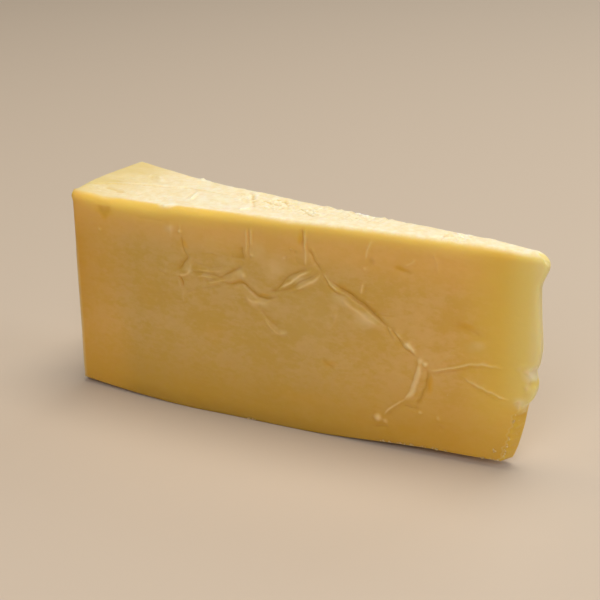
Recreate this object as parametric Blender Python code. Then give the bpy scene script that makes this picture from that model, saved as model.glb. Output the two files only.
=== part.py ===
"""Wedge of cheddar cheese, standing on the narrow side it was sliced by.

Metres, +Z up. The long cut face that shows looks towards -Y, the thick end is at -X and the
tip at +X. The origin is on the floor, under the middle of the wedge's box.

A straight tapered block is rounded and cut into a grid first. Its points are then moved to
where the real piece has them: the base is bowed like a rocker, the top rises towards the tip,
the tip is broken off at its foot, and folds of the wrapping film are pressed into the face.
"""
import math

import bmesh
import bpy
from mathutils import Vector, noise

MM = 0.001

# The block: along is the distance from the thick end, up the height above the floor
LENGTH = 168.7 * MM
HEIGHT = 72.0 * MM
THICK_END = 42.4 * MM
TIP = 4.8 * MM
ROUNDING = 1.3 * MM
ROUNDING_STEPS = 2
FOOT_ROUNDING = 0.5 * MM

# Cells of the grid along, across and up the block; the shown face and the tip get twice these
CELLS_ALONG = 40
CELLS_ACROSS = 6
CELLS_UP = 17

# Plan: the shown face turns back near the thick end and swells towards the tip
FACE_SETBACK = 5.0 * MM
FACE_SETBACK_RUN = 48.0 * MM
FACE_SWELL = 1.0 * MM
FACE_SWELL_START = 60.0 * MM
BACK_HOLLOW = 1.9 * MM
BACK_HOLLOW_START = 64.0 * MM
BACK_HOLLOW_END = 152.0 * MM
END_SKEW = 4.0 * MM
END_SWELL = 1.6 * MM
END_LEAN = 1.2 * MM

# Height of the top over the floor at the thick end, at its dip, at its crest and at the tip
TOP_AT_END = 70.9 * MM
TOP_DIP = 0.7 * MM
TOP_DIP_PLACE = 17.0 * MM
TOP_CREST = 73.5 * MM
TOP_CREST_PLACE = 125.0 * MM
TOP_FALL_AT_TIP = 0.8 * MM
TOP_FALL_BACKWARDS = 0.5 * MM

# Base: a flat patch that carries the wedge, with both ends of the cut curving up from it
FOOT_START = 48.0 * MM
FOOT_END = 86.0 * MM
END_LIFT = 1.7 * MM
TIP_LIFT = 2.3 * MM
TIP_LIFT_RUN = 50.0 * MM

# Outline of the tip: (up, along) in mm, with a lip at the top and a notch where it broke
TIP_START = 150.0 * MM
TIP_OUTLINE = [
    (0, 160.8), (6, 161.2), (12, 163.2), (18, 164.0), (22, 164.0), (25, 168.2), (29, 168.0), (31, 166.6),
    (33, 167.4), (35, 164.6), (37, 167.6), (40, 168.4), (51, 166.8), (63, 166.5), (68, 168.6), (70, 168.7),
    (72, 167.2),
]
CHIP_TOP = 24.5 * MM
CHIP_STEP = 2.5 * MM
CHIP_DEPTH = 4.6 * MM
CHIP_SHARE = 0.8

# Folds of the film in the shown face: path of (along, up) in mm, full width and depth in mm.
# A negative depth stands proud of the face.
FOLDS = {
    "long groove": ([(91, 62), (94, 57.5), (100, 53), (106, 50), (110, 47), (119, 41), (128, 34)], 6.0, 1.0),
    "lip of the long groove": ([(97, 50), (105, 45.5), (111, 42), (120, 35)], 5.0, -0.3),
    "fork": ([(130.5, 32.5), (129.3, 26), (127, 20), (124.5, 17.5)], 5.4, -1.0),
    "tail of the fork": ([(124.5, 17.5), (119.5, 13.5), (116, 10)], 4.4, -0.4),
    "hollow beside the fork": ([(132.5, 28), (130, 19)], 4.0, 0.5),
    "arm towards the tip": ([(132.5, 30), (141, 32.6), (148, 34), (156, 34.3)], 4.4, -0.35),
    "straight crease": ([(144, 28.7), (151.5, 26.8), (160, 24)], 4.4, -0.3),
    "hanging fold": ([(66, 52), (68, 48), (72.5, 45.7), (77, 45.3), (81, 49), (86.5, 54), (91.5, 57)], 5.4, 0.8),
    "ridge in the hanging fold": ([(79, 45.5), (84, 50), (91, 55.3)], 3.2, -0.4),
    "upright crease": ([(43, 64), (45, 61), (47, 55), (45.5, 52), (42.5, 49)], 5.0, 0.5),
    "lower crease": ([(73, 39.5), (77.5, 35.5), (81, 33)], 3.4, -0.3),
}

# Dimples in the same face: (along, up), radius and depth, in mm
DIMPLES = [
    ((13.2, 66.5), 4.0, 0.7),
    ((65.8, 59.3), 4.5, 0.6),
    ((123.5, 61.4), 5.5, 0.5),
    ((97.6, 25.9), 5.0, 0.45),
    ((144.4, 45.4), 6.0, 0.5),
    ((44.4, 46.2), 2.8, 0.5),
]

# Crumbs left standing along the top's far edge: along in mm, and their height in mm
CRAGS = [(34, 0.5), (107, 0.6), (112, 0.5), (138, 0.9), (147, 0.8)]
CRAG_RADIUS = 3.2 * MM

# The cut faces are slightly uneven: how far, how wide a swell is, and where its noise starts
UNEVENNESS = 0.22 * MM
UNEVENNESS_SPREAD = 14.0 * MM
UNEVENNESS_START = 1796048716


def smooth(share):
    """Ease from 0 to 1 as share goes from 0 to 1."""
    share = min(max(share, 0.0), 1.0)
    return share * share * (3.0 - 2.0 * share)


def hump(share):
    """Half a wave: 0 at both ends, 1 in the middle, 0 outside."""
    return math.sin(math.pi * share) if 0.0 < share < 1.0 else 0.0


def width_at(along):
    """Thickness of the straight block."""
    return THICK_END + (TIP - THICK_END) * along / LENGTH


def face_at(along):
    """Plan line of the shown face, towards +Y from the block's own front."""
    setback = FACE_SETBACK * max(0.0, 1.0 - along / FACE_SETBACK_RUN) ** 1.4
    swell = FACE_SWELL * hump((along - FACE_SWELL_START) / (LENGTH * 1.02 - FACE_SWELL_START))
    return setback - swell


def back_hollow_at(along):
    return BACK_HOLLOW * hump((along - BACK_HOLLOW_START) / (BACK_HOLLOW_END - BACK_HOLLOW_START))


def top_at(along, across):
    """Height of the top at a place along, with across from 0 at the shown face to 1 at the back."""
    rise = (TOP_CREST - TOP_AT_END) * smooth((along - TOP_DIP_PLACE) / (TOP_CREST_PLACE - TOP_DIP_PLACE))
    dip = TOP_DIP * (1.0 - across) * hump(along / (2.4 * TOP_DIP_PLACE))
    fall = TOP_FALL_AT_TIP * smooth((along - TOP_CREST_PLACE) / (LENGTH - TOP_CREST_PLACE))
    backwards = TOP_FALL_BACKWARDS * across * hump(along / LENGTH)
    return TOP_AT_END + rise - dip - fall - backwards


def base_at(along):
    """Height of the bowed base over the floor."""
    if along < FOOT_START:
        return END_LIFT * (1.0 - along / FOOT_START) ** 1.5
    return TIP_LIFT * smooth((along - FOOT_END) / TIP_LIFT_RUN)


def tip_at(up, across):
    """How far along the tip reaches at a height; its front corner is broken off at the foot."""
    up_mm = up / MM
    reach = TIP_OUTLINE[-1][1]
    for (low, near), (high, far) in zip(TIP_OUTLINE, TIP_OUTLINE[1:]):
        if up_mm < high:
            reach = near + (far - near) * max(up_mm - low, 0.0) / (high - low)
            break
    broken = CHIP_DEPTH * smooth((CHIP_TOP - up) / CHIP_STEP) * max(0.0, 1.0 - across / CHIP_SHARE)
    return reach * MM - broken


def distance_to_path(point, path):
    """Least distance from a point to a line through the path's points."""
    least = 1.0e9
    for start, end in zip(path, path[1:]):
        run = (end[0] - start[0], end[1] - start[1])
        length = run[0] ** 2 + run[1] ** 2
        share = ((point[0] - start[0]) * run[0] + (point[1] - start[1]) * run[1]) / length
        share = min(max(share, 0.0), 1.0)
        off = (point[0] - start[0] - run[0] * share, point[1] - start[1] - run[1] * share)
        least = min(least, math.hypot(*off))
    return least


def pressed_at(along, up):
    """How deep the film's folds and dimples press into the shown face."""
    point = (along / MM, up / MM)
    depth = 0.0
    for path, width, deep in FOLDS.values():
        near = 1.0 - distance_to_path(point, path) / (0.5 * width)
        depth += deep * smooth(near)
    for place, radius, deep in DIMPLES:
        near = 1.0 - math.dist(point, place) / radius
        depth += deep * smooth(near)
    return depth * MM


def crags_at(along, across):
    """Height of the crumbs along the top's far edge."""
    height = 0.0
    for place, high in CRAGS:
        off = math.hypot(along - place * MM, (1.0 - across) * width_at(along))
        height += high * MM * smooth(1.0 - off / CRAG_RADIUS)
    return height


def cut_into_cells(mesh, axis, least, cells):
    """Cut every edge that runs along an axis for more than the least length."""
    edges = []
    for edge in mesh.edges:
        run = edge.verts[1].co - edge.verts[0].co
        if abs(run[axis]) > least and abs(run[axis]) > 0.8 * run.length:
            edges.append(edge)
    bmesh.ops.subdivide_edges(mesh, edges=edges, cuts=cells - 1, use_grid_fill=True)


def sharpen_foot(along, across, up):
    """Shrink the rounding of the edges round the base, which the slicing wire left crisp."""
    if up >= ROUNDING:
        return along, across, up
    shrink = FOOT_ROUNDING / ROUNDING
    inset = shrink + (1.0 - shrink) * up / ROUNDING
    width = width_at(along)
    if across < ROUNDING:
        across *= inset
    elif across > width - ROUNDING:
        across = width - (width - across) * inset
    if along < ROUNDING:
        along *= inset
    elif along > LENGTH - ROUNDING:
        along = LENGTH - (LENGTH - along) * inset
    return along, across, up * shrink


def straight_block():
    """The tapered block, rounded and cut into its grid."""
    mesh = bmesh.new()
    bmesh.ops.create_cube(mesh, size=1.0)
    for corner in mesh.verts:
        along = LENGTH if corner.co.x > 0 else 0.0
        across = width_at(along) if corner.co.y > 0 else 0.0
        up = HEIGHT if corner.co.z > 0 else 0.0
        corner.co = Vector((along, across, up))
    bmesh.ops.bevel(
        mesh, geom=mesh.edges[:], offset=ROUNDING, segments=ROUNDING_STEPS, profile=0.5, affect="EDGES"
    )
    cut_into_cells(mesh, 0, 0.5 * LENGTH, CELLS_ALONG)
    cut_into_cells(mesh, 2, 0.5 * HEIGHT, CELLS_UP)
    cut_into_cells(mesh, 1, 0.9 * ROUNDING, CELLS_ACROSS)
    fine = set()
    for face in mesh.faces:
        on_shown_face = face.normal.y < -0.99
        on_tip = face.calc_center_median().x > LENGTH - ROUNDING
        if on_shown_face or on_tip:
            fine.update(face.edges)
    bmesh.ops.subdivide_edges(mesh, edges=list(fine), cuts=1, use_grid_fill=True)
    return mesh


def shape(block):
    """Where a point of the straight block goes on the real wedge."""
    along, across, up = sharpen_foot(*block)
    share_across = across / width_at(along)
    share_up = up / HEIGHT
    if along > TIP_START:
        stretch = (tip_at(up, share_across) - TIP_START) / (LENGTH - TIP_START)
        place = TIP_START + (along - TIP_START) * stretch
    else:
        end = END_SKEW * share_across - END_SWELL * hump(share_across) + END_LEAN * (0.4 - share_up)
        place = along + end * (1.0 - smooth(along / (0.5 * TIP_START)))
    low = base_at(along)
    height = low + share_up * (top_at(along, share_across) - low)
    depth = face_at(along) + across - back_hollow_at(along) * share_across
    at_face = smooth(1.0 - across / ROUNDING)
    at_top = smooth(1.0 - (HEIGHT - up) / ROUNDING)
    depth += at_face * pressed_at(along, height)
    height += at_top * crags_at(along, share_across)
    off_floor = smooth(up / (4.0 * ROUNDING))
    uneven = noise.noise_vector(Vector((place, depth, height)) / UNEVENNESS_SPREAD)
    return Vector((place, depth, height)) + UNEVENNESS * off_floor * uneven


def cheddar_material():
    material = bpy.data.materials.new("cheddar")
    material.use_nodes = True
    shader = material.node_tree.nodes["Principled BSDF"]
    shader.inputs["Base Color"].default_value = (0.84, 0.60, 0.24, 1.0)
    shader.inputs["Roughness"].default_value = 0.5
    shader.inputs["Metallic"].default_value = 0.0
    return material


def make_wedge(collection):
    mesh = straight_block()
    for point in mesh.verts:
        point.co = shape(point.co)
    bmesh.ops.triangulate(mesh, faces=mesh.faces[:])
    bmesh.ops.recalc_face_normals(mesh, faces=mesh.faces[:])
    lowest = [min(point.co[axis] for point in mesh.verts) for axis in range(3)]
    highest = [max(point.co[axis] for point in mesh.verts) for axis in range(3)]
    middle = Vector((0.5 * (lowest[0] + highest[0]), 0.5 * (lowest[1] + highest[1]), 0.0))
    bmesh.ops.translate(mesh, verts=mesh.verts[:], vec=-middle)
    data = bpy.data.meshes.new("cheddar_wedge")
    mesh.to_mesh(data)
    mesh.free()
    data.shade_smooth()
    wedge = bpy.data.objects.new("cheddar_wedge", data)
    data.materials.append(cheddar_material())
    collection.objects.link(wedge)
    return wedge


for old in list(bpy.data.objects):
    bpy.data.objects.remove(old, do_unlink=True)

noise.seed_set(UNEVENNESS_START)
cheese = bpy.data.collections.new("cheddar cheese wedge")
bpy.context.scene.collection.children.link(cheese)
make_wedge(cheese)
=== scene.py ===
"""The looks of a cut wedge of cheddar cheese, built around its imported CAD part. Metres, +Z up."""
import math

import bmesh
import bpy
import numpy as np
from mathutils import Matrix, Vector, noise


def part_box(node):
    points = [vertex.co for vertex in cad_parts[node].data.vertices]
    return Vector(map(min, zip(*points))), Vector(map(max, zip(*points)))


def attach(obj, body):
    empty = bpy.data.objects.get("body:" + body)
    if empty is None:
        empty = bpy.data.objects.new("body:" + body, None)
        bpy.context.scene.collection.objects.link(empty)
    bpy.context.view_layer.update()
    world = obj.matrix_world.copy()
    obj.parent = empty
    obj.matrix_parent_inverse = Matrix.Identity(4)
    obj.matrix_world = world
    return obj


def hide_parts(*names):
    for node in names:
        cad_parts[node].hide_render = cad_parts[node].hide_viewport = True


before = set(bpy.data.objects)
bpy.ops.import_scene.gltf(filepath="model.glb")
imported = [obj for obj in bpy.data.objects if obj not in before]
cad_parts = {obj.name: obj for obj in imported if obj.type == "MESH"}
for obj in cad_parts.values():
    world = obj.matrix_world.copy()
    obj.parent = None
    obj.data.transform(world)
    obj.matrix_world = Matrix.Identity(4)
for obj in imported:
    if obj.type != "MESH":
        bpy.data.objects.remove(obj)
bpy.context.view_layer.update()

# The noise is seeded, so each run gives the same wedge
noise.seed_set(11)


# The wedge
# Firm cheddar, pressed from salted curd, so it is one dense, slightly translucent paste. A wire
# sliced it from a flat wheel and left crisp edges and a bowed base. The film it was wrapped in
# then pressed its folds into the long face, and the thin tip broke off at the foot.
mm = 0.001
wedge_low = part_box("cheddar_wedge")[0]

# The straight block that the shape starts from, and where its first corner lies in the frame
block_length = 168.7 * mm
block_height = 72.0 * mm
thick_end = 42.4 * mm
tip_width = 4.8 * mm
rounding = 1.3 * mm
foot_rounding = 0.45 * mm
block_corner = Vector((wedge_low.x + 0.86 * mm, wedge_low.y + 2.16 * mm, 0.0))

# Folds of the film, as paths of (along from the thick end, up from the floor) in millimetres.
# Each has its reach to the left and to the right of the path, how deep it goes and how sharp
# it is. A negative depth stands proud of the face.
film_folds = [
    # the dent under the thick end's corner, with the film's edge over it
    ([(10.8, 67.3), (13.8, 67.2), (16.8, 67.4)], 0.6, 2.6, 0.28, 0.5),
    ([(27.0, 66.2), (33.0, 66.1), (38.4, 66.3)], 0.65, 1.17, 0.23, 0.6),
    # the first upright crease, its lip and the pit under it
    ([(40.6, 65.6), (40.5, 60.6)], 2.08, 2.34, -0.25, 1.0),
    ([(44.2, 66.4), (43.9, 62.8)], 1.04, 1.04, -0.32, 1.0),
    ([(44.4, 62.4), (45.3, 57.8), (46.4, 56.2), (47.6, 54.9)], 1.04, 1.95, 0.52, 1.5),
    ([(47.6, 55.2), (45.1, 52.5), (42.9, 49.6)], 1.04, 2.99, 0.8, 1.4),
    ([(48.0, 54.0), (47.8, 50.6), (45.6, 48.4), (42.2, 47.8)], 1.43, 1.3, -0.48, 1.0),
    ([(43.7, 47.6), (44.3, 46.0), (44.4, 44.2)], 1.15, 0.85, 0.95, 1.0),
    ([(43.2, 46.8), (43.6, 43.8)], 0.78, 0.78, -0.23, 1.0),
    ([(44.9, 43.4), (44.9, 38.4)], 1.17, 1.17, -0.23, 1.0),
    # ripples that run from it to the hanging fold
    ([(48.2, 52.8), (48.9, 50.4), (53.5, 50.3), (59.0, 50.2), (61.5, 51.5), (66.2, 54.2)],
     1.17, 1.17, 0.46, 1.3),
    ([(60.6, 51.0), (63.8, 52.6), (66.6, 54.6)], 2.47, 1.17, 0.46, 1.3),
    ([(49.4, 52.8), (52.2, 53.0), (54.6, 52.4), (57.8, 53.2), (61.0, 54.6)], 0.91, 0.91, 0.25, 1.0),
    ([(50.0, 51.5), (54.0, 51.3), (58.0, 51.7), (61.0, 53.2)], 0.91, 0.91, -0.28, 1.0),
    ([(51.0, 46.8), (54.9, 48.3), (58.3, 49.5), (61.8, 50.0)], 1.04, 1.04, 0.28, 1.0),
    ([(49.6, 48.5), (53.5, 49.3), (57.0, 49.3)], 1.04, 1.04, -0.3, 1.0),
    ([(50.6, 44.4), (54.4, 45.6), (57.7, 47.1), (61.4, 48.1), (66.9, 47.9)], 1.17, 1.43, 0.32, 1.0),
    ([(53.0, 46.6), (57.0, 48.2), (62.0, 49.2), (66.0, 50.0)], 1.17, 1.04, -0.3, 1.0),
    ([(45.6, 42.4), (50.6, 43.9)], 1.04, 1.04, 0.16, 1.0),
    ([(48.4, 57.0), (55.0, 57.4), (61.0, 57.0)], 0.6, 0.7, 0.14, 0.8),
    ([(49.0, 54.8), (53.0, 55.0), (58.0, 54.5), (62.0, 55.5)], 0.6, 0.6, 0.16, 0.8),
    ([(50.0, 45.8), (55.0, 46.9), (60.0, 46.9)], 0.6, 0.6, 0.15, 0.8),
    ([(33.0, 51.2), (38.0, 49.4), (42.0, 49.4)], 0.6, 0.7, 0.16, 0.8),
    ([(34.0, 48.6), (39.0, 47.1), (42.4, 46.6)], 0.6, 0.6, 0.14, 0.8),
    ([(35.4, 53.2), (39.4, 51.8), (42.6, 51.8)], 0.6, 0.6, 0.12, 0.8),
    # the pair of upright lines and the pit with two straight edges beside them
    ([(67.0, 61.8), (67.3, 57.3)], 0.65, 5.46, 0.57, 1.3),
    ([(62.4, 57.2), (67.4, 57.5)], 3.9, 0.65, 0.44, 1.2),
    ([(68.5, 68.2), (68.4, 58.8)], 0.85, 0.85, -0.41, 1.0),
    ([(70.3, 68.2), (70.2, 62.4)], 0.85, 0.85, -0.41, 1.0),
    ([(69.35, 67.8), (69.3, 58.6)], 0.65, 0.65, 0.39, 1.0),
    # the fold that hangs between the upright lines
    ([(61.4, 47.8), (66.0, 48.8), (67.8, 48.3), (70.5, 46.4), (72.9, 45.2), (76.1, 44.8), (79.0, 46.0)],
     3.38, 1.17, 0.86, 1.5),
    ([(67.6, 44.8), (70.0, 43.4), (73.4, 43.2), (77.0, 44.0)], 1.3, 2.86, -0.3, 1.0),
    ([(75.9, 47.4), (79.8, 49.2), (83.4, 53.6), (87.0, 55.8), (90.5, 57.6)], 3.12, 1.04, 0.71, 1.4),
    ([(78.0, 48.0), (82.1, 49.0), (85.2, 50.4), (87.9, 52.5), (91.4, 54.9), (93.3, 56.6)],
     1.17, 1.17, 0.6, 1.3),
    ([(80.6, 49.8), (84.3, 51.7), (86.6, 53.7), (88.7, 55.6), (91.2, 57.0)], 1.17, 1.17, -0.63, 1.0),
    ([(86.4, 50.0), (90.5, 52.3), (93.2, 54.3), (95.0, 56.4)], 1.3, 1.56, -0.48, 1.0),
    ([(83.4, 48.4), (86.4, 49.2), (90.0, 50.8)], 1.04, 1.04, 0.23, 1.0),
    ([(86.2, 61.0), (87.2, 58.9), (90.0, 58.2)], 1.17, 1.17, 0.3, 1.0),
    # the upright line over it, with the deep streak at its left
    ([(89.8, 70.8), (89.8, 57.8)], 1.04, 1.04, -0.52, 1.0),
    ([(88.6, 71.0), (88.5, 64.6)], 0.91, 1.95, 0.63, 1.1),
    # the long groove down to the fork, its strands and its lip
    ([(90.5, 64.2), (92.3, 61.2), (93.5, 59.0), (95.0, 57.5)], 2.21, 1.04, 0.63, 1.3),
    ([(92.0, 64.8), (93.2, 61.8), (94.6, 59.8)], 1.04, 1.04, -0.29, 1.0),
    ([(94.9, 57.6), (97.0, 54.1), (98.8, 51.8), (101.5, 50.3), (104.6, 50.6)], 1.04, 1.04, 0.48, 1.2),
    ([(95.9, 57.0), (97.0, 55.3), (98.9, 53.0), (101.6, 51.5)], 1.04, 0.91, -0.48, 1.0),
    ([(99.4, 53.8), (102.7, 52.0), (106.2, 50.0), (109.6, 48.0), (112.7, 45.8), (115.3, 43.7),
      (117.8, 42.4)],
     3.64, 1.17, 1.21, 1.6),
    ([(102.0, 49.2), (107.0, 46.3), (111.0, 43.5), (115.6, 41.6)], 1.69, 4.16, -0.46, 1.0),
    ([(114.8, 45.8), (117.0, 45.9), (120.4, 45.7)], 0.91, 0.91, 0.28, 1.0),
    ([(117.4, 42.4), (118.8, 39.8), (120.2, 37.8)], 0.91, 0.91, 0.41, 1.0),
    ([(119.3, 41.9), (122.1, 38.2), (124.3, 35.8), (127.9, 33.6)], 1.04, 1.3, 0.57, 1.3),
    ([(120.5, 41.5), (123.4, 38.6)], 1.17, 1.17, -0.34, 1.0),
    ([(124.2, 38.1), (125.9, 36.8), (127.9, 35.2)], 1.69, 1.69, -0.92, 1.0),
    # the fork: a double ridge running down to the left, and the hollow at its right
    ([(129.6, 31.6), (128.9, 27.2), (127.4, 22.0), (125.4, 18.2)], 1.3, 1.3, -0.8, 0.5),
    ([(129.0, 32.2), (128.4, 28.4), (127.4, 24.8), (125.6, 20.2), (123.7, 17.2)], 0.9, 0.9, -0.5, 1.0),
    ([(131.6, 30.4), (131.3, 25.4), (130.1, 20.9), (128.2, 16.4)], 2.6, 1.04, 0.75, 1.1),
    ([(124.4, 15.9), (128.8, 16.2)], 0.78, 1.69, 0.52, 1.0),
    ([(123.9, 17.9), (120.5, 14.9), (118.0, 11.5)], 0.91, 0.91, -0.52, 1.0),
    ([(124.0, 16.3), (121.2, 13.6), (119.0, 10.8)], 1.04, 0.91, 0.3, 1.0),
    ([(113.6, 6.9), (119.2, 7.2)], 1.56, 1.69, 0.52, 1.0),
    # the arms from the fork towards the tip
    ([(131.6, 30.4), (134.0, 29.9), (137.8, 31.0), (141.8, 32.5), (145.8, 33.8), (151.4, 34.5),
      (157.0, 34.3)],
     1.04, 1.04, -0.53, 1.0),
    ([(133.0, 28.5), (137.8, 29.7), (142.0, 31.2), (146.0, 32.5), (151.0, 33.1)], 1.3, 1.3, 0.3, 1.0),
    ([(134.4, 31.9), (137.7, 34.4), (141.6, 39.3)], 1.17, 1.17, -0.18, 1.0),
    ([(143.6, 29.6), (146.9, 27.8), (150.6, 26.4), (153.8, 25.5), (160.2, 23.9)],
     0.78, 0.78, -0.48, 1.0),
    ([(144.4, 27.9), (150.4, 25.1), (157.4, 23.4)], 0.91, 1.3, 0.32, 1.0),
    # the flap at the end of the lower arm
    ([(163.2, 24.6), (165.6, 22.8), (167.2, 20.8)], 1.5, 1.9, -0.5, 0.8),
    ([(168.0, 25.4), (168.2, 22.6), (167.4, 20.6)], 1.0, 1.0, -0.4, 1.0),
    # faint upright lines at the right
    ([(112.4, 70.8), (111.2, 67.0), (110.4, 63.4)], 1.3, 1.3, -0.41, 1.0),
    ([(109.7, 55.6), (109.0, 51.8)], 1.56, 1.43, -0.46, 1.0),
    ([(110.8, 55.4), (110.4, 51.8)], 0.91, 0.78, 0.25, 1.0),
    ([(132.6, 69.4), (134.4, 62.0)], 1.3, 1.3, -0.21, 1.0),
    # the lower crease and a faint bow beside it
    ([(74.8, 37.8), (77.8, 34.4), (80.1, 33.1), (83.0, 34.6)], 0.95, 0.95, -0.32, 1.0),
    ([(73.2, 41.8), (75.5, 38.4), (79.9, 35.2)], 4.4, 1.1, 0.42, 1.2),
    ([(100.6, 44.6), (99.5, 40.8), (97.0, 37.2)], 1.56, 1.56, -0.21, 1.0),
    # long shallow dimples
    ([(119.3, 62.4), (122.8, 61.7), (126.4, 61.1)], 2.2, 2.0, 0.42, 0.3),
    ([(123.8, 63.3), (126.9, 66.0)], 1.17, 1.17, -0.3, 1.0),
    ([(94.8, 26.8), (97.6, 25.9), (100.4, 24.6)], 2.4, 2.0, 0.38, 0.3),
    ([(139.4, 46.8), (144.4, 45.5), (149.2, 43.4)], 2.8, 2.3, 0.42, 0.3),
]

# Round marks in the same face: place, radius and depth in millimetres
film_dimples = [
    ((43.8, 63.4), 1.2, -0.3), ((67.4, 51.9), 1.8, -0.45), ((70.0, 59.6), 1.3, -0.35),
    ((84.5, 63.6), 0.8, -0.35), ((85.8, 62.4), 1.3, 0.3), ((82.1, 60.5), 1.0, -0.25),
    ((11.6, 59.2), 0.9, -0.3), ((112.1, 63.0), 2.0, 0.42), ((109.9, 60.6), 1.1, -0.36),
    ((113.9, 45.4), 0.9, -0.35), ((118.7, 41.5), 1.0, -0.36), ((121.6, 40.0), 1.2, -0.2),
    ((129.5, 32.5), 1.6, -0.5), ((131.2, 31.6), 1.3, -0.7), ((115.5, 10.2), 2.4, -0.6),
    ((118.3, 9.4), 1.7, -0.35), ((129.9, 14.8), 1.2, -0.4), ((136.0, 13.7), 1.5, -0.25),
    ((137.2, 10.6), 1.6, 0.25), ((148.4, 41.0), 3.4, -0.3), ((167.2, 34.4), 1.9, -0.45),
    ((167.6, 31.0), 1.9, 0.28), ((165.6, 28.9), 1.7, -0.45), ((165.4, 26.4), 2.0, 0.2),
    ((168.4, 28.6), 1.4, 0.3), ((12.2, 65.9), 2.2, 0.25), ((15.6, 65.9), 2.2, 0.25),
    ((13.9, 65.0), 2.8, 0.35), ((14.2, 63.2), 1.6, 0.12), ((71.0, 42.6), 4.2, -0.16),
    ((99.6, 45.6), 4.4, -0.16), ((107.0, 41.6), 4.6, -0.18), ((63.6, 50.2), 2.4, -0.2),
    ((92.0, 53.4), 3.2, -0.14), ((40.8, 64.6), 2.8, -0.18), ((78.4, 55.6), 9.5, -0.3),
    ((56.0, 60.5), 7.5, -0.2), ((164.0, 35.4), 2.4, -0.3),
]

# Patches of painted light and shade in the face: place, reach along and up, and tone. Those above nought
# are paler, painted light, and those below are amber, painted shade, such as in the dents and dimples.
shading_patches = [
    ((40, 64), (4, 4), 0.6), ((47, 51), (4, 3), 0.7), ((54, 50), (3, 3), 0.5), ((66, 52), (3, 3), 0.7),
    ((74, 43), (5, 2), 0.5), ((88, 53), (5, 3), 0.8), ((102, 49), (5, 3), 0.5),
    ((111, 43), (6, 4), 0.7), ((81, 34), (3, 2), 0.5), ((125, 37), (2, 2), 0.8),
    ((147, 40), (5, 4), 0.6), ((72, 61), (6, 5), 0.5), ((132, 72), (2, 4), 0.5),
    ((61, 55), (7, 3), 0.4), ((13, 70), (4, 2), 0.8), ((39, 67), (4, 2), -0.5),
    ((65, 60), (3, 3), -0.3), ((87.6, 68), (2, 4), -0.9), ((103, 52.6), (7, 3.6), -0.5),
    ((122, 62), (5, 2), -0.9), ((144, 46), (5, 2.4), -0.9), ((98, 26), (5, 3), -0.6),
    ((132.4, 25), (1.8, 6), -0.9), ((104, 34), (8, 5), -0.3), ((46, 59), (2, 3), -0.8),
    ((56, 30), (9, 9), -0.3), ((75, 46), (5, 1.6), -0.7), ((12.4, 65.6), (3.4, 2.6), -1.0),
    ((15.4, 65.6), (3.4, 2.6), -1.0), ((14.0, 63.4), (2.4, 2.4), -0.9), ((90, 12), (22, 6), -0.3),
    ((30, 40), (8, 14), -0.25), ((93, 42), (30, 22), 0.3),
]

# Marks on the top, as paths of (along, back from the long face's plane), reach and depth
top_marks = [
    # a long line from the thick end, with the paste lifted beside it
    ([(-1.0, 13.2), (4.5, 16.0), (9.1, 18.4), (15.8, 21.2), (26.3, 23.0), (33.5, 24.0), (44.6, 22.6),
      (56.0, 21.0)],
     0.6, 0.42),
    ([(4.8, 17.2), (9.4, 19.6), (16.0, 22.4), (26.3, 24.2)], 0.9, -0.16),
    # a lifted flake at the front edge, the pit and the marks beside it
    ([(9.4, 3.4), (12.8, 3.3), (16.6, 3.2)], 2.4, -0.3),
    ([(8.0, 14.4), (12.3, 13.4), (17.0, 12.4)], 2.2, 0.38), ([(14.0, 11.4), (17.8, 12.4)], 0.9, 0.3),
    ([(5.4, 8.6), (9.0, 9.6), (14.0, 9.0)], 1.6, -0.14), ([(22.2, 10.0), (23.6, 13.3)], 0.6, 0.25),
    ([(14.3, 31.7), (18.2, 28.3), (19.5, 23.8)], 2.2, 0.2),
    ([(17.0, 33.0), (20.4, 29.8), (22.4, 26.0)], 1.4, -0.18),
    ([(5.0, 22.0), (9.0, 30.0), (13.0, 38.0)], 1.5, 0.15),
    ([(9.0, 22.6), (12.6, 28.0), (15.0, 36.0)], 1.3, -0.13),
    # a lifted crumb at the front edge, and two cuts that cross
    ([(36.4, 2.6), (38.2, 3.6), (40.0, 5.6)], 2.2, -0.3), ([(40.0, 11.6), (39.5, 20.3)], 0.55, 0.3),
    ([(42.3, 11.1), (40.5, 20.6)], 0.6, -0.32), ([(43.6, 11.6), (42.2, 17.0)], 0.5, 0.3),
    # torn edges of the crumbly middle
    ([(56.2, 27.0), (59.4, 23.4), (61.8, 18.5), (64.6, 13.6), (66.3, 9.8)], 0.9, 0.3),
    ([(57.8, 27.6), (61.0, 23.6), (63.4, 18.8)], 1.1, -0.3), ([(62.4, 6.4), (65.4, 9.6)], 0.9, -0.4),
    ([(64.9, 19.6), (69.0, 17.2), (74.3, 15.2)], 0.7, 0.35), ([(68.6, 22.4), (75.7, 18.3)], 0.7, 0.3),
    ([(74.8, 10.2), (75.6, 14.4)], 0.6, 0.3), ([(80.8, 15.0), (86.1, 9.4), (90.1, 6.0)], 0.7, 0.35),
    ([(87.6, 10.4), (91.3, 8.9)], 0.7, -0.4),
    ([(99.6, 15.8), (102.6, 14.4), (105.4, 12.8)], 1.6, -0.35),
    # a torn patch near the tip
    ([(134.5, -0.2), (134.4, 6.4)], 0.6, 0.3), ([(136.6, 9.0), (139.8, 4.8), (143.0, 4.2)], 0.9, -0.35),
]

# The wire's chatter: fine cuts straight across the top, from this far along
chatter = [84.6, 87.1, 91.8, 94.3, 97.2, 98.4, 101.6, 103.4, 106.9, 109.9, 111.2, 118.4, 126.0]

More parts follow.
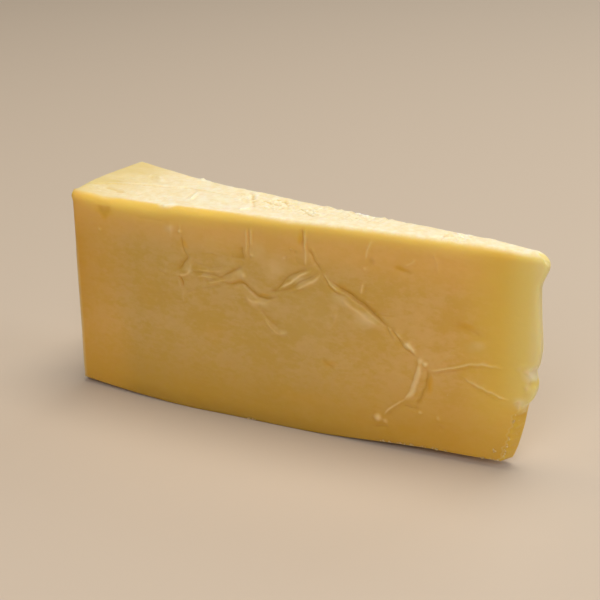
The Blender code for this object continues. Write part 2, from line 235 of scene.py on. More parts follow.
# Where the curd tore into crumbs: place, reach and roughness
torn_patches = [
    ((60.0, 21.0), 10.0, 0.7), ((72.0, 16.0), 11.0, 0.9), ((84.0, 13.0), 9.0, 0.8),
    ((103.0, 13.0), 8.0, 0.6), ((139.0, 5.0), 8.0, 0.8), ((13.0, 29.0), 9.0, 0.3),
    ((34.0, 11.0), 4.0, 0.4), ((6.0, 12.0), 5.0, 0.4),
]


def smooth(share):
    """Ease from 0 to 1 as share goes from 0 to 1."""
    share = np.clip(share, 0.0, 1.0)
    return share * share * (3.0 - 2.0 * share)


def hump(share):
    """Half a wave: 0 at both ends, 1 in the middle, 0 outside."""
    return np.sin(np.pi * np.clip(share, 0.0, 1.0))


def through(path, per_span=8):
    """A smooth curve through a path's points."""
    points = np.array([path[0]] + list(path) + [path[-1]], float)
    share = np.linspace(0.0, 1.0, per_span, endpoint=False)[:, None]
    curve = []
    for before, start, end, after in zip(points, points[1:], points[2:], points[3:]):
        bend = (2.0 * before - 5.0 * start + 4.0 * end - after) * share ** 2
        twist = (3.0 * (start - end) + after - before) * share ** 3
        curve.append(0.5 * (2.0 * start + (end - before) * share + bend + twist))
    return np.vstack(curve + [points[-1:]])


def beside(places, path):
    """Distance of places from a path, positive at its left, and their share of its length."""
    curve = through(path)
    steps = np.hypot(*(curve[1:] - curve[:-1]).T)
    done = np.concatenate(([0.0], np.cumsum(steps))) / steps.sum()
    best = np.full(len(places), 1.0e9)
    side = np.ones(len(places))
    share = np.zeros(len(places))
    for number, (start, end) in enumerate(zip(curve[:-1], curve[1:])):
        run = end - start
        off = places - start
        along = np.clip((off @ run) / (run @ run), 0.0, 1.0)
        gap = off - along[:, None] * run
        distance = np.hypot(gap[:, 0], gap[:, 1])
        nearer = distance < best
        best = np.where(nearer, distance, best)
        side = np.where(nearer, np.sign(run[0] * off[:, 1] - run[1] * off[:, 0]), side)
        share = np.where(nearer, done[number] + along * (done[number + 1] - done[number]), share)
    return best * side, share


def fold_depth(places):
    """How deep the film's folds press into the face at places given in millimetres."""
    depth = np.zeros(len(places))
    for path, left, right, deep, sharp in film_folds:
        reach = max(left, right)
        low = np.min(path, axis=0) - reach
        high = np.max(path, axis=0) + reach
        near = np.flatnonzero(np.all((places > low) & (places < high), axis=1))
        if not len(near):
            continue
        gap, share = beside(places[near], path)
        gap = np.where(gap > 0.0, gap / left, -gap / right)
        fade = smooth(np.minimum(share, 1.0 - share) / 0.2) * 0.7 + 0.3
        depth[near] += deep * fade * np.clip(1.0 - gap, 0.0, 1.0) ** (1.0 + sharp)
    for place, radius, deep in film_dimples:
        gap = np.hypot(*(places - place).T) / radius
        depth += deep * smooth(1.0 - gap)
    return depth


def patch_shading(places):
    """How pale or amber the face's patches of painted light and shade are at places given in
    millimetres.
    """
    painted_light_and_shade = np.zeros(len(places))
    for place, reach, strength in shading_patches:
        painted_light_and_shade += strength * smooth(1.0 - np.hypot(*((places - place) / reach).T))
    return painted_light_and_shade


def top_relief(places):
    """How deep the top is marked, and how torn it is, at places given in millimetres."""
    depth = np.zeros(len(places))
    cuts = [([(cut, 4.0), (cut + 0.6, 12.0), (cut + 1.0, 24.0)], 0.42, 0.2) for cut in chatter]
    for path, reach, deep in top_marks + cuts:
        low = np.min(path, axis=0) - reach
        high = np.max(path, axis=0) + reach
        near = np.all((places > low) & (places < high), axis=1)
        gap, share = beside(places[near], path)
        fade = smooth(np.minimum(share, 1.0 - share) / 0.15)
        depth[near] += deep * fade * smooth(1.0 - np.abs(gap) / reach)
    torn = np.zeros(len(places))
    for place, reach, rough in torn_patches:
        torn = np.maximum(torn, rough * smooth(1.5 - 1.5 * np.hypot(*(places - place).T) / reach))
    return depth, torn


# The block's outline. These are the bows, dips and lifts that the CAD solid has too.
def width_at(along):
    return thick_end + (tip_width - thick_end) * along / block_length


def face_at(along):
    """Plan line of the long face: it turns back near the thick end and swells towards the tip."""
    setback = 5.0 * mm * np.maximum(0.0, 1.0 - along / (48.0 * mm)) ** 1.4
    return setback - 1.0 * mm * hump((along - 60.0 * mm) / (block_length * 1.02 - 60.0 * mm))


def back_hollow_at(along):
    return 1.9 * mm * hump((along - 64.0 * mm) / (88.0 * mm))


def top_at(along, across):
    """Height of the top, with across from 0 at the long face to 1 at the back."""
    rise = 2.6 * mm * smooth((along - 17.0 * mm) / (108.0 * mm))
    dip = 0.7 * mm * (1.0 - across) * hump(along / (40.8 * mm))
    fall = 0.8 * mm * smooth((along - 125.0 * mm) / (block_length - 125.0 * mm))
    backwards = 0.5 * mm * across * hump(along / block_length)
    return 70.9 * mm + rise - dip - fall - backwards


def base_at(along):
    """Height of the bowed base: flat where it carries the wedge, lifted at both ends."""
    end = 1.7 * mm * np.maximum(0.0, 1.0 - along / (48.0 * mm)) ** 1.5
    return end + 2.3 * mm * smooth((along - 86.0 * mm) / (50.0 * mm))


def rolled(across, under_top, along):
    """Roll the top front edge, from its distances behind the long face and under the top."""
    radius = (3.1 + 0.6 * hump((along - 6.0 * mm) / (42.0 * mm))) * mm
    turn = across - under_top
    angle = 0.25 * np.pi * (1.0 + np.clip(turn / radius, -1.0, 1.0))
    on_edge = np.abs(turn) < radius
    back = np.where(on_edge, radius * (1.0 - np.cos(angle)), across)
    down = np.where(on_edge, radius * (1.0 - np.sin(angle)), under_top)
    near = (across < radius) & (under_top < radius)
    return np.where(near, back, across), np.where(near, down, under_top)


# How far the tip reaches at each height, as (up, along) in millimetres, with the notch at 34 up
# where the thin edge gave way
tip_start = 150.0 * mm
tip_outline = [
    (0, 158.8), (4, 160.5), (7, 161.5), (14, 163.1), (21, 164.1), (22.6, 164.2), (25.4, 166.1),
    (28, 166.8), (30, 166.9), (32, 166.4), (34, 166.0), (36, 166.9), (41.5, 167.6), (46, 167.3),
    (51, 166.8), (57, 166.3), (61, 166.1), (63, 166.4), (67.5, 168.2), (69, 168.3), (69.8, 168.1),
    (70.5, 167.7), (71.2, 167.0), (71.8, 166.2), (72.4, 165.3), (73, 164.2),
]


def tip_at(height, across):
    """How far the tip reaches at a height; its front corner is broken off at the foot."""
    heights, reaches = np.array(tip_outline).T
    reach = np.interp(height / mm, heights, reaches) * mm
    ragged = 0.35 * np.sin(height / (0.9 * mm)) + 0.3 * np.sin(height / (0.37 * mm) + 1.0)
    in_front = np.maximum(0.0, 1.0 - across / 0.95)
    broken = (2.5 + ragged) * smooth((24.5 * mm - height) / (7.0 * mm)) * in_front
    scooped = 1.3 * smooth(1.0 - np.abs(height / mm - 34.8) / 2.4) * np.maximum(0.0, 1.0 - across / 0.7)
    pocked = 0.9 * smooth(1.0 - np.abs(height / mm - 30.2) / 1.6) * np.maximum(0.0, 1.0 - across / 0.6)
    return reach - (broken + scooped + pocked) * mm


# The cube's corners are pulled out to the block's size, and the tip end is squeezed
bpy.ops.object.select_all(action="DESELECT")
bpy.ops.mesh.primitive_cube_add(size=1.0, location=(0.5, 0.5, 0.5))
wedge = bpy.context.object
wedge.name = "cut_cheddar"
bpy.ops.object.transform_apply(location=True, rotation=False, scale=False)
bpy.ops.object.mode_set(mode="EDIT")


def choose(kind, wanted):
    """In edit mode, select the vertices, edges or faces that a test picks, and no others."""
    bpy.ops.mesh.select_mode(type=kind)
    bpy.ops.mesh.select_all(action="DESELECT")
    shape = bmesh.from_edit_mesh(bpy.context.object.data)
    for item in {"VERT": shape.verts, "EDGE": shape.edges, "FACE": shape.faces}[kind]:
        if wanted(item):
            item.select_set(True)
    bmesh.update_edit_mesh(bpy.context.object.data)


def edge_run(edge):
    return edge.verts[1].co - edge.verts[0].co


def goes_across(edge):
    run = edge_run(edge)
    return abs(run.y) > 0.9 * rounding and abs(run.x) < 0.2 * rounding


choose("VERT", lambda corner: True)
bpy.ops.transform.resize(value=(block_length, thick_end, block_height), center_override=(0, 0, 0))
choose("VERT", lambda corner: corner.co.x > 0.5 * block_length)
bpy.ops.transform.resize(value=(1.0, tip_width / thick_end, 1.0), center_override=(0, 0, 0))
choose("EDGE", lambda edge: True)
bpy.ops.mesh.bevel(offset=rounding, segments=4, profile=0.5, affect="EDGES")

# Cuts along, up and across the block turn its flat sides into a grid
choose("EDGE", lambda edge: abs(edge_run(edge).x) > 0.5 * block_length)
bpy.ops.mesh.subdivide(number_cuts=59)
choose("EDGE", lambda edge: abs(edge_run(edge).x) > 1.5 * mm)
bpy.ops.mesh.subdivide(number_cuts=1)
choose("EDGE", lambda edge: abs(edge_run(edge).z) > 0.5 * block_height)
bpy.ops.mesh.subdivide(number_cuts=49)
choose("EDGE", goes_across)
bpy.ops.mesh.subdivide(number_cuts=23)

# The sides that show most are cut finer, and finer still where the film left its folds
choose("FACE", lambda side: side.normal.y < -0.99 or side.normal.z > 0.99)
bpy.ops.mesh.subdivide(number_cuts=1)
choose("FACE", lambda side: side.calc_center_median().x > 156.0 * mm and abs(side.normal.z) < 0.5)
bpy.ops.mesh.subdivide(number_cuts=1)

# Folds and marks deeper than these, in millimetres, and curd rougher than this need the finer cut
fold_seen = 0.03
mark_seen = 0.04
tear_seen = 0.2
near_plane = 0.01 * mm
bpy.ops.object.mode_set(mode="OBJECT")
centres = np.zeros(len(wedge.data.polygons) * 3)
wedge.data.polygons.foreach_get("center", centres)
centres = centres.reshape(-1, 3)
floor_up = base_at(centres[:, 0])
centre_up = floor_up + centres[:, 2] / block_height * (top_at(centres[:, 0], 0.0) - floor_up)
pressed = np.abs(fold_depth(np.column_stack((centres[:, 0], centre_up)) / mm)) > fold_seen
centre_back = face_at(centres[:, 0]) + centres[:, 1]
marked, crumbly = top_relief(np.column_stack((centres[:, 0], centre_back)) / mm)
finer = pressed & (centres[:, 1] < near_plane)
marked_or_torn = (np.abs(marked) > mark_seen) | (crumbly > tear_seen)
finer |= marked_or_torn & (centres[:, 2] > block_height - near_plane)
finer_sides = set(np.flatnonzero(finer))
bpy.ops.object.mode_set(mode="EDIT")
choose("FACE", lambda side: side.index in finer_sides)
bpy.ops.mesh.subdivide(number_cuts=1)
bpy.ops.object.mode_set(mode="OBJECT")

# Every point goes from the straight block to its place on the real wedge
count = len(wedge.data.vertices)
block = np.zeros(count * 3)
wedge.data.vertices.foreach_get("co", block)
along, across, up = block.reshape(-1, 3).T
width = width_at(along)
in_foot = up < rounding
shrink = foot_rounding / rounding
inset = np.where(in_foot, shrink + (1.0 - shrink) * up / rounding, 1.0)
across = np.where(across < rounding, across * inset, across)
across = np.where(across > width - rounding, width - (width - across) * inset, across)
along = np.where(along < rounding, along * inset, along)
along = np.where(along > block_length - rounding, block_length - (block_length - along) * inset, along)
up = np.where(in_foot, up * shrink, up)
at_face = smooth(1.0 - across / rounding)
at_top = smooth(1.0 - (block_height - up) / rounding)
across, under_top = rolled(across, block_height - up, along)
up = block_height - under_top
share_across = across / width
share_up = up / block_height

low = base_at(along)
height = low + share_up * (top_at(along, share_across) - low)
depth = face_at(along) + across - back_hollow_at(along) * share_across

# The thick end's cut is askew, bows and leans a little, and the tip is drawn out to its outline
end_shift = 4.0 * mm * share_across - 1.6 * mm * hump(share_across) + 1.2 * mm * (0.4 - share_up)
place = along + end_shift * (1.0 - smooth(along / (0.5 * tip_start)))
tip_stretch = (tip_at(height, share_across) - tip_start) / (block_length - tip_start)
place = np.where(along > tip_start, tip_start + (along - tip_start) * tip_stretch, place)

# The film's folds wander a little from their paths
near_face = np.flatnonzero(at_face > 0.0)
wander = np.zeros((count, 2))
for number in near_face:
    spot = Vector((along[number], 0.0, height[number]))
    wobble = noise.noise_vector(spot / (2.6 * mm)) * 0.35 + noise.noise_vector(spot / (7.0 * mm)) * 0.3
    wander[number] = wobble.x, wobble.z
fold = at_face * fold_depth(np.column_stack((along, height)) / mm + wander)
depth += fold * mm

# Crumbs that the wire tore up along the far edge of the top: where, how high and how wide
far_crags = [
    (33, 1.0, 2.2), (36.4, 0.8, 1.3), (52, 0.4, 1.6), (54.5, 0.3, 1.2), (61, 0.35, 1.4), (74, 0.4, 1.4),
    (89, 0.5, 2.6), (94, 0.6, 1.2), (98, 0.6, 2.0), (107, 0.6, 1.0), (110.6, 1.2, 1.2),
    (113.4, 0.8, 1.1), (142, 0.4, 1.6), (147.4, 0.9, 1.5), (149.4, 0.6, 1.1), (151.8, 0.4, 1.0),
    (158, 0.25, 1.2),
]
for crag_place, crag_high, crag_reach in far_crags:
    reach = np.hypot(along - crag_place * mm, (1.0 - share_across) * width) / (crag_reach * mm)
    height += at_top * crag_high * mm * smooth(1.0 - reach)

# The marks and the torn curd on the top
scar, torn = top_relief(np.column_stack((along, depth)) / mm)
for number in np.flatnonzero((torn > 0.0) & (at_top > 0.0)):
    spot = Vector((along[number], depth[number], 0.0))
    lump = noise.noise(spot / (1.6 * mm)) + 0.8 * noise.noise(spot / (0.8 * mm))
    scar[number] += torn[number] * (0.08 - 0.45 * lump)
scar *= at_top
height -= scar * mm

points = np.column_stack((place, depth, height))
off_floor = smooth(up / (4.0 * rounding))
for number, point in enumerate(points):
    uneven = noise.noise_vector(Vector(point) / (14.0 * mm))
    points[number] += 0.22 * mm * off_floor[number] * np.array(uneven)
points += np.array(block_corner)
wedge.data.vertices.foreach_set("co", points.ravel())
wedge.data.update()

# What the material follows: the dry cut top, the painted glow in the golden band round its front edge,
# the thin translucent tip's painted glow and light and its broken foot, painted shade towards the bottom
# and at the thick end, and the folds
along_mm = along / mm
height_mm = height / mm
white_from = 1.2 + 2.4 * hump((along_mm + 22.0) / 104.0)
white_from -= 1.8 * hump((along_mm - 34.0) / 8.0) + 1.2 * hump((along_mm - 8.0) / 11.0)
white_from -= 0.6 * smooth((along_mm - 152.0) / 14.0) + 1.1 * smooth((14.0 - along_mm) / 10.0)
from_edge = np.hypot(np.maximum(across, 0.0), np.maximum(block_height - up, 0.0)) / mm
# Painted glow: a golden band under the top's front edge that stands in for light coming through the
# paste
painted_edge_glow = 0.75 * smooth(1.3 - from_edge / (5.0 + hump(along_mm / 60.0)))
painted_edge_glow += 0.25 * np.exp(-from_edge / 8.0)
at_corner = 0.3 + 0.7 * smooth(along_mm / 6.0)
to_tip = place / mm
bloom = smooth((152.0 - along_mm) / 72.0) * (1.0 - 0.55 * smooth((height_mm - 55.0) / 12.0))
bloom *= 1.0 - 0.5 * smooth((27.0 - along_mm) / 15.0)
bloom *= 1.0 - 0.6 * smooth((27.0 - along_mm) / 15.0) * smooth((37.0 - height_mm) / 15.0)
# Painted light: the thin tip's pale glow, painted highlights on the chips round the notch and a pale
# painted highlight line down the thick end's edge, left out at the dark gap by the notch
painted_pale_light = 0.5 * smooth((to_tip - 162.5) / 5.0) * smooth((height_mm - 20.0) / 4.0)
painted_pale_light *= 1.0 - 0.2 * smooth((height_mm - 60.0) / 6.0)
painted_pale_light += 0.9 * smooth(1.0 - np.hypot((to_tip - 165.5) / 4.5, (height_mm - 33.4) / 4.5))
painted_pale_light += 0.7 * smooth(1.0 - np.hypot((to_tip - 162.5) / 3.5, (height_mm - 23.4) / 3.0))
painted_pale_light += 0.5 * smooth(1.6 - along_mm / 1.2) * smooth((62.0 - height_mm) / 25.0)
painted_pale_light -= 0.9 * smooth(1.0 - np.hypot((to_tip - 166.6) / 2.6, (height_mm - 30.6) / 2.2))
broken_foot = smooth((22.0 - height_mm) / 3.0) * smooth((to_tip - tip_at(height, 0.0) / mm + 1.7) / 1.0)
marks = {
    "top": at_top * smooth((across / mm - white_from + 1.3) / 2.6),
    # painted glow under the top's front edge
    "edge": painted_edge_glow * at_corner,
    # painted glow of light through the thinning tip
    "painted_tip_glow": smooth((to_tip - 138.0) / 20.0) * (0.3 + 0.7 * smooth((height_mm - 6.0) / 24.0)),
    # painted light: paler towards the tip, where light falls on it and through it
    "pale": smooth((to_tip - 153.0) / 13.0) * smooth((height_mm - 19.0) / 6.0),
    # painted glow and painted highlights at the tip and the thick end's edge
    "painted_pale_light": np.clip(painted_pale_light, 0.0, 1.0),
    "broken": broken_foot,
    # painted warm shade, darker towards the bottom
    "foot": smooth(1.0 - up / (30.0 * mm)),
    # painted shade at the thick end
    "end": np.exp(-along_mm / 13.0) * (0.3 + 0.7 * smooth(height / (45.0 * mm))),
    "dull": smooth((32.0 - along_mm + 5.0 * share_across) / 40.0),
    # painted glow, brighter towards the top of the face
    "painted_upper_glow": at_face * smooth((height_mm - 52.0) / 14.0),
    "bloom": bloom,
    # painted contact shade at the foot
    "under": bloom * smooth(1.0 - up / (7.0 * mm)),
    # painted light and shade in the face's patches
    "painted_light_and_shade": at_face * patch_shading(np.column_stack((along, height)) / mm + 2.0 * wander),
    "fold": fold,
    "scar": scar,
}
for name, value in marks.items():
    wedge.data.attributes.new(name, "FLOAT", "POINT").data.foreach_set("value", value.astype(np.float32))

top_group = wedge.vertex_groups.new(name="cut top")
for number in np.flatnonzero(at_top > 0.01):
    top_group.add([int(number)], float(at_top[number]), "REPLACE")

crumb_texture = bpy.data.textures.new("curd crumb", "CLOUDS")
crumb_texture.noise_scale = 1.6 * mm
crumb_texture.noise_depth = 2
crumb = wedge.modifiers.new("crumb", "DISPLACE")
crumb.texture = crumb_texture
crumb.texture_coords = "LOCAL"
crumb.vertex_group = top_group.name
crumb.strength = 0.22 * mm
crumb.mid_level = 0.5
bpy.ops.object.select_all(action="DESELECT")
wedge.select_set(True)
bpy.context.view_layer.objects.active = wedge
bpy.ops.object.modifier_apply(modifier=crumb.name)
bpy.ops.object.shade_smooth()


class Amount:
    """A number in a shader, so that sums on it are written as sums."""

    def __init__(self, nodes, socket):
        self.nodes = nodes
        self.socket = socket

    def with_other(self, operation, first, second):
        node = self.nodes.add("ShaderNodeMath", {"operation": operation}, {0: first, 1: second})
        return node.out()

    def __add__(self, other):
        return self.with_other("ADD", self, other)

    def __radd__(self, other):
        return self.with_other("ADD", other, self)

    def __sub__(self, other):
        return self.with_other("SUBTRACT", self, other)

    def __rsub__(self, other):
        return self.with_other("SUBTRACT", other, self)

    def __mul__(self, other):
        return self.with_other("MULTIPLY", self, other)

    def __rmul__(self, other):
        return self.with_other("MULTIPLY", other, self)

    def clamped(self, low=0.0, high=1.0):
        return self.with_other("MINIMUM", self.with_other("MAXIMUM", self, low), high)


class Placed:
    """A node in a material, with its sockets by name or number."""

    def __init__(self, nodes, node):
        self.nodes = nodes
        self.node = node

    def out(self, name=0):
        return Amount(self.nodes, self.node.outputs[name])


class Finish:
    """The nodes of one material."""

    def __init__(self, name):
        self.material = bpy.data.materials.new(name)
        self.material.use_nodes = True
        self.tree = self.material.node_tree
        self.tree.nodes.clear()

    def add(self, kind, settings=None, inputs=None):
        """A node of a type, with its settings first and then the values or links of its sockets."""
        node = self.tree.nodes.new(kind)
        for setting, value in (settings or {}).items():
            setattr(node, setting, value)
        for socket, value in (inputs or {}).items():
            if isinstance(value, Amount):
                self.tree.links.new(value.socket, node.inputs[socket])
            else:
                node.inputs[socket].default_value = value
        return Placed(self, node)

    def blotches(self, place, size, detail=2.0, roughness=0.5):
        """Soft noise from 0 to 1 whose blotches are about that size."""
        inputs = {"Vector": place, "Scale": 1.0 / size, "Detail": detail, "Roughness": roughness}
        return self.add("ShaderNodeTexNoise", {"noise_dimensions": "3D"}, inputs).out("Fac")

    def between(self, low, high, amount):
        """Ease an amount from 0 at low to 1 at high."""
        settings = {"interpolation_type": "SMOOTHSTEP"}
        inputs = {"Value": amount, "From Min": low, "From Max": high}
        return self.add("ShaderNodeMapRange", settings, inputs).out("Result")

    def mixed(self, share, first, second):
        """One colour turning into another."""
        node = self.add("ShaderNodeMix", {"data_type": "RGBA"}, {0: share, 6: first, 7: second})
        return node.out(2)

    def tinted(self, share, colour, tint):
        """A colour multiplied by a tint."""
        settings = {"data_type": "RGBA", "blend_type": "MULTIPLY"}
        node = self.add("ShaderNodeMix", settings, {0: share, 6: colour, 7: tint})
        return node.out(2)


def cheddar_finish():
    """Pale yellow paste, whiter where the wire tore it, with painted shade and highlights in the folds
    and patches, painted shade towards the bottom and painted glow under the top's edge and at the tip.
    """
    cheddar = Finish("cheddar")
    place = cheddar.add("ShaderNodeTexCoord").out("Object")
    follow = {
        name: cheddar.add("ShaderNodeAttribute", {"attribute_name": name}).out("Fac") for name in marks
    }

    # the paste: a dull bloom in soft clouds, drawn out along the face
    times = {"operation": "MULTIPLY"}
    drawn = cheddar.add("ShaderNodeVectorMath", times, {0: place, 1: (0.6, 1.0, 1.0)}).out()
    blotch = cheddar.blotches(place, 26.0 * mm)
    mottle = cheddar.blotches(drawn, 5.0 * mm, 3.0, 0.6)
    streak = cheddar.blotches(drawn, 1.6 * mm, 3.0, 0.6)
    cloud = cheddar.between(0.4, 0.6, blotch * 0.3 + mottle * 0.4 + streak * 0.3)
    paste = cheddar.mixed(cloud, (0.765, 0.465, 0.095, 1.0), (0.83, 0.53, 0.175, 1.0))
    # Darker, deeper yellow towards the bottom is painted warm shade, with the mottle's random tone mixed
    # in
    deeper = (follow["foot"] * 0.9 + (mottle - 0.5) * 0.6).clamped()
    paste = cheddar.mixed(deeper, paste, (0.71, 0.40, 0.045, 1.0))
    # darker at the thick end: painted shade
    paste = cheddar.mixed(follow["end"], paste, (0.77, 0.395, 0.045, 1.0))
    # brighter towards the top of the face: painted glow from the lit edge above
    paste = cheddar.mixed(follow["painted_upper_glow"] * 0.55, paste, (0.93, 0.54, 0.155, 1.0))
    paste = cheddar.tinted(follow["bloom"], paste, (0.865, 0.915, 1.0, 1.0))
    # darker along the lowest few millimetres: painted contact shade
    paste = cheddar.tinted(follow["under"], paste, (0.85, 0.84, 0.82, 1.0))
    # pale patches are painted light and amber ones painted shade
    painted_light_share = cheddar.between(0.0, 1.0, follow["painted_light_and_shade"])
    paste = cheddar.mixed(painted_light_share * 0.55, paste, (0.83, 0.67, 0.36, 1.0))
    amber = cheddar.between(0.0, 1.0, 0.0 - follow["painted_light_and_shade"])
    paste = cheddar.mixed(amber * 0.75, paste, (0.79, 0.43, 0.03, 1.0))

    # painted light that comes through: a golden painted glow under the top's front edge, a yellow and
    # then pale painted glow to the tip, and painted highlights on the tip's chips; then the broken
    # foot's snapped paste
    in_bloom = (follow["bloom"] * 2.0).clamped()
    edge_glow_colour = cheddar.mixed(in_bloom, (0.96, 0.68, 0.165, 1.0), (0.865, 0.605, 0.13, 1.0))
    paste = cheddar.mixed(follow["edge"], paste, edge_glow_colour)
    paste = cheddar.tinted(follow["edge"] * follow["dull"], paste, (1.0, 0.92, 0.75, 1.0))
    # painted glow through the thinning tip
    paste = cheddar.mixed(follow["painted_tip_glow"], paste, (0.85, 0.575, 0.10, 1.0))
    # paler towards the tip: painted light
    paste = cheddar.mixed(follow["pale"], paste, (0.87, 0.705, 0.22, 1.0))
    # pale painted glow and highlights at the tip and the thick end's edge
    paste = cheddar.mixed(follow["painted_pale_light"], paste, (0.875, 0.76, 0.46, 1.0))
    broken = follow["broken"]
    crumbly = cheddar.between(0.6, 0.85, cheddar.blotches(place, 1.6 * mm, 2.0))
    snapped = cheddar.mixed(crumbly, (0.765, 0.49, 0.07, 1.0), (0.88, 0.68, 0.28, 1.0))
    paste = cheddar.mixed(broken, paste, snapped)
    ragged_line = broken * (1.0 - broken) * (1.2 + 4.0 * crumbly)
    paste = cheddar.mixed(ragged_line.clamped(), paste, (0.87, 0.71, 0.33, 1.0))

    # the film's folds: painted shade, deep yellow, in the grooves, and painted highlight, pale, on the
    # crests
    fold = follow["fold"]
    groove_shade = cheddar.between(0.03, 0.9, fold)
    crest_highlight = cheddar.between(0.03, 0.6, 0.0 - fold)
    paste = cheddar.mixed(groove_shade * 0.75, paste, (0.66, 0.37, 0.042, 1.0))
    paste = cheddar.mixed(crest_highlight * 0.8, paste, (0.90, 0.66, 0.32, 1.0))

    # the cut top: dry and nearly white, with painted shade, yellow, in the marks and a painted highlight
    # on the lifted bits
    dry = cheddar.between(0.2, 0.8, cheddar.blotches(place, 2.6 * mm, 5.0, 0.6))
    wave = cheddar.blotches(drawn, 7.0 * mm, 2.0)
    crumb_colour = cheddar.mixed(dry, (0.90, 0.76, 0.45, 1.0), (0.985, 0.925, 0.735, 1.0))
    dull = (follow["dull"] * (0.65 + 0.9 * wave) + cheddar.between(0.55, 0.8, wave) * 0.3).clamped()
    crumb_colour = cheddar.mixed(dull, crumb_colour, (0.74, 0.60, 0.27, 1.0))
    shade_in_marks = cheddar.between(0.04, 0.55, follow["scar"])
    crumb_colour = cheddar.mixed(shade_in_marks, crumb_colour, (0.78, 0.60, 0.26, 1.0))
    lifted = cheddar.between(0.04, 0.4, 0.0 - follow["scar"])
    crumb_colour = cheddar.mixed(lifted, crumb_colour, (0.98, 0.94, 0.80, 1.0))
    colour = cheddar.mixed(follow["top"], paste, crumb_colour)

    grain = cheddar.blotches(place, 0.7 * mm, 3.0)
    skin = cheddar.blotches(drawn, 2.2 * mm, 3.0, 0.6)
    bumps = grain * (0.1 + 0.35 * follow["top"] + 0.3 * broken) + skin * 0.5
    bump = cheddar.add("ShaderNodeBump", {}, {"Strength": 0.8, "Distance": 0.3 * mm, "Height": bumps})
    dryness = 0.3 + 0.2 * grain + 0.2 * follow["top"] + 0.2 * follow["end"] + 0.3 * follow["edge"]

    shader = cheddar.add("ShaderNodeBsdfPrincipled", {"subsurface_method": "RANDOM_WALK"}, {
        "Base Color": colour,
        "Roughness": dryness.clamped(),
        "IOR": 1.44,
        "Specular IOR Level": 0.35,
        "Subsurface Weight": 0.7,
        "Subsurface Radius": (1.0, 0.85, 0.5),
        "Subsurface Scale": 3.2 * mm,
        "Subsurface Anisotropy": 0.3,
        "Normal": bump.out("Normal"),
    })
    cheddar.add("ShaderNodeOutputMaterial", {}, {"Surface": shader.out("BSDF")})
    return cheddar.material


wedge.data.materials.append(cheddar_finish())
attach(wedge, "root")
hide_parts("cheddar_wedge")


# The crumbs
# Bits of the same paste, torn off by the wire and stuck to the wedge: a few on the long face, and
# clusters along its lower edge and round the broken foot.

# The larger bits, as (along, up, radius) in millimetres
crumb_spots = [
    (84.5, 63.6, 0.32), (85.0, 63.4, 0.2), (82.1, 60.5, 0.22), (82.7, 60.6, 0.16), (11.6, 59.2, 0.2),
    (129.9, 14.8, 0.26), (136.0, 13.7, 0.22), (138.7, 22.3, 0.2), (154.5, 6.2, 0.45), (155.1, 5.7, 0.4),
    (154.7, 5.4, 0.3), (157.9, 4.6, 0.5), (158.2, 5.4, 0.45), (158.4, 6.3, 0.4), (158.1, 6.9, 0.3),
    (158.8, 8.0, 0.5), (158.9, 8.8, 0.35), (159.3, 10.7, 0.45), (159.2, 11.4, 0.3), (160.4, 16.8, 0.4),
    (160.7, 17.4, 0.3), (161.0, 19.4, 0.35),
]
# Clusters on the lower edge: where they start and how many bits they hold
edge_clusters = [
    (68.0, 7), (116.6, 4), (119.6, 3), (122.4, 6), (127.0, 3), (130.0, 5), (134.4, 4), (138.4, 2),
    (150.4, 3), (153.6, 6),
]
for start, bits in edge_clusters:
    for bit in range(bits):
        crumb_spots.append((
            start + 0.5 * bit,
            base_at(start * mm) / mm + 0.5 + 0.15 * math.sin(5.0 * bit + start),
            0.29 + 0.1 * math.sin(2.1 * bit + start),
        ))


def add_crumb(place, size, number):
    """One crumb at a place in millimetres: a small squashed ball, turned its own way."""
    turn = (1.3 * number, 2.1 * number, 0.7 * number)
    bpy.ops.mesh.primitive_ico_sphere_add(
        subdivisions=2, radius=size * mm, location=Vector(place) * mm + block_corner, rotation=turn
    )
    piece = bpy.context.object
    piece.scale = (1.0, 0.75 + 0.2 * math.sin(number), 0.6)
    bpy.ops.object.transform_apply(location=True, rotation=True, scale=True)
    return piece


bpy.ops.object.select_all(action="DESELECT")
crumbs = []
for number, (spot, spot_up, size) in enumerate(crumb_spots):
    crumbs.append(add_crumb((spot, face_at(spot * mm) / mm, spot_up), size, number))
bpy.ops.object.select_all(action="DESELECT")
for piece in crumbs:
    piece.select_set(True)
crumb_pile = crumbs[0]
bpy.context.view_layer.objects.active = crumb_pile
bpy.ops.object.join()
crumb_pile.name = "crumbs"
roughen = crumb_pile.modifiers.new("roughen", "DISPLACE")
roughen.texture = crumb_texture
roughen.texture_coords = "LOCAL"
roughen.strength = 0.3 * mm
roughen.mid_level = 0.5
bpy.ops.object.modifier_apply(modifier=roughen.name)
bpy.ops.object.shade_smooth()
dryness = np.full(len(crumb_pile.data.vertices), 0.18, np.float32)
crumb_pile.data.attributes.new("top", "FLOAT", "POINT").data.foreach_set("value", dryness)
crumb_pile.data.materials.append(wedge.data.materials[0])
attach(crumb_pile, "root")


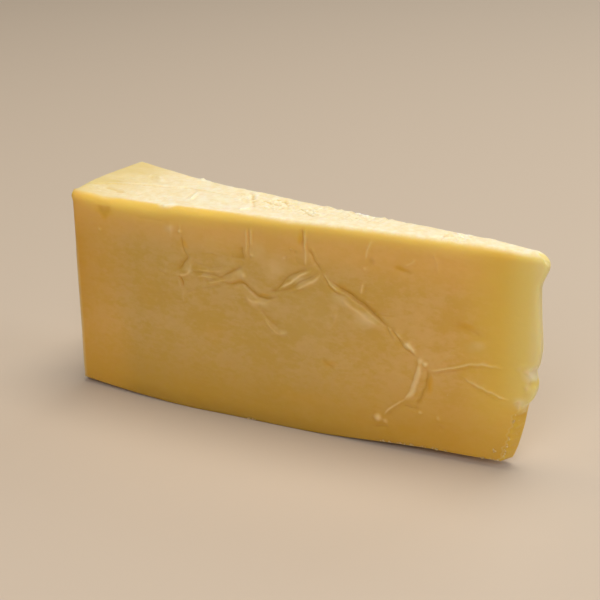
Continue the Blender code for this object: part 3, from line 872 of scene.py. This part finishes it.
# The floor and the light
# A plain pale surface, lit by one large soft light from above and a wide fill from the front,
# with weaker ones from behind and from the right, in a dim pale room.
bpy.ops.object.select_all(action="DESELECT")
bpy.ops.mesh.primitive_plane_add(size=8.0, location=(0.0, 0.0, 0.0))
floor = bpy.context.object
floor.name = "floor"
plain = Finish("plain floor")
plain_look = {"Base Color": (0.6, 0.52, 0.44, 1.0), "Roughness": 0.7}
plain_shader = plain.add("ShaderNodeBsdfPrincipled", {}, plain_look)
plain.add("ShaderNodeOutputMaterial", {}, {"Surface": plain_shader.out("BSDF")})
floor.data.materials.append(plain.material)


def soft_light(name, place, aim, size, power, colour):
    """A square area light that looks at a point."""
    lamp = bpy.data.lights.new(name, "AREA")
    lamp.shape = "RECTANGLE"
    lamp.size, lamp.size_y = size
    lamp.energy = power
    lamp.color = colour
    holder = bpy.data.objects.new(name, lamp)
    bpy.context.collection.objects.link(holder)
    holder.location = place
    holder.rotation_euler = (Vector(aim) - Vector(place)).to_track_quat("-Z", "Y").to_euler()


middle = (0.0, 0.0, 0.03)
soft_light("overhead", (0.1, 0.22, 1.6), middle, (1.0, 1.0), 19.8, (1.0, 0.885, 0.72))
soft_light("behind", (0.3, 1.4, 0.9), middle, (1.0, 0.8), 4.0, (0.95, 1.0, 1.0))
soft_light("right", (1.4, 0.35, 0.7), middle, (0.8, 0.8), 4.2, (1.0, 1.0, 1.0))
soft_light("front fill", (0.35, -1.35, 1.1), middle, (1.0, 1.0), 12.8, (1.0, 0.985, 1.0))

room = bpy.data.worlds.new("room")
room.use_nodes = True
room_light = room.node_tree.nodes["Background"].inputs
room_light["Color"].default_value = (1.0, 0.96, 0.9, 1.0)
room_light["Strength"].default_value = 0.03
bpy.context.scene.world = room
bpy.context.scene.view_settings.view_transform = "Standard"

# The camera looks down on the wedge from in front and a little to the right
view_turn = math.radians(24.0)
view_tilt = math.radians(21.0)
view_distance = 0.6288
view_aim = Vector((-0.0454, 0.0875, 0.0))
lens_data = bpy.data.cameras.new("camera")
lens_data.sensor_width = 36.0
lens_data.lens = 92.75
camera = bpy.data.objects.new("camera", lens_data)
bpy.context.collection.objects.link(camera)
view_back = Vector((
    math.sin(view_turn) * math.cos(view_tilt),
    -math.cos(view_turn) * math.cos(view_tilt),
    math.sin(view_tilt),
))
camera.location = view_aim + view_distance * view_back
camera.rotation_euler = (-view_back).to_track_quat("-Z", "Y").to_euler()
bpy.context.scene.camera = camera
